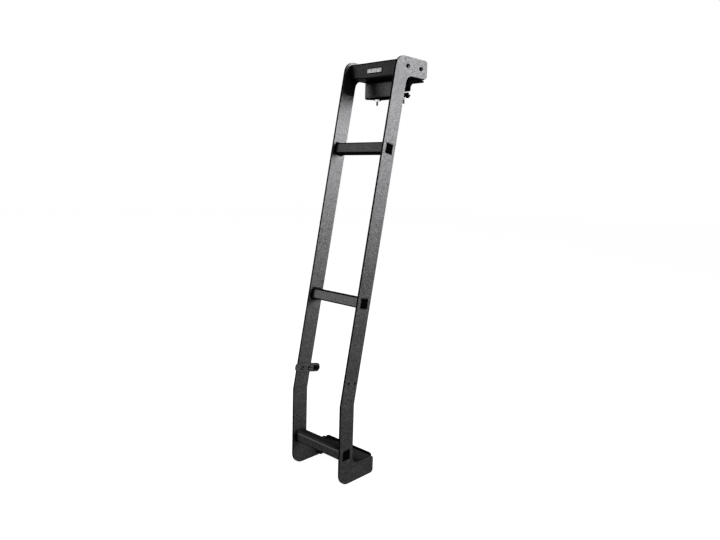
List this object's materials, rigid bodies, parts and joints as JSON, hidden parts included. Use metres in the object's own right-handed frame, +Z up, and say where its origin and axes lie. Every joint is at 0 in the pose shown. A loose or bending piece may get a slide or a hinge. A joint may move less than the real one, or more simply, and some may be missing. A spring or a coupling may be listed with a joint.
{
  "type": "vehicle side ladder",
  "caption": "Hook-on vehicle side ladder: flat side plates with hook arms and feet, square rungs, folded top channel, rubber-lined hanging bracket with wing-nut clamps and rubber bumpers.",
  "frame": {"origin": "on the bare lower part of the rear face of the hanging bracket's web, midway between the side plates, where the ladder rests against the vehicle's gutter or rack rail", "axes": "+Y towards the vehicle, +Z up, +X to the right of a person facing the vehicle"},
  "size_m": [0.201, 0.316, 1.165],
  "materials": {
    "coated_metal": "satin black powder coat, fine grained",
    "stainless": "bright, lightly brushed",
    "black_bolt": "blackened, half matt",
    "plug_plastic": "matt black moulded plastic",
    "black_rubber": "matt black rubber"
  },
  "bodies": {
    "root": {"left_side_plate": "coated_metal", "right_side_plate": "coated_metal", "top_rung": "coated_metal", "middle_rung": "coated_metal", "bottom_rung": "coated_metal", "top_rung_left_plug": "plug_plastic", "top_rung_right_plug": "plug_plastic", "middle_rung_left_plug": "plug_plastic", "middle_rung_right_plug": "plug_plastic", "bottom_rung_left_plug": "plug_plastic", "bottom_rung_right_plug": "plug_plastic", "top_channel": "coated_metal", "left_channel_end": "coated_metal", "right_channel_end": "coated_metal", "left_front_hook_bolt": "black_bolt", "left_rear_hook_bolt": "black_bolt", "right_front_hook_bolt": "black_bolt", "right_rear_hook_bolt": "black_bolt", "hanging_bracket": "coated_metal", "bracket_lining": "black_rubber", "left_clamp_stud": "stainless", "right_clamp_stud": "stainless", "left_wing_nut": "stainless", "right_wing_nut": "stainless", "bumper_strip": "coated_metal", "rubber_bumper": "black_rubber", "foot_crossmember": "coated_metal", "foot_edge_trim": "black_rubber"}
  },
  "joints": []
}
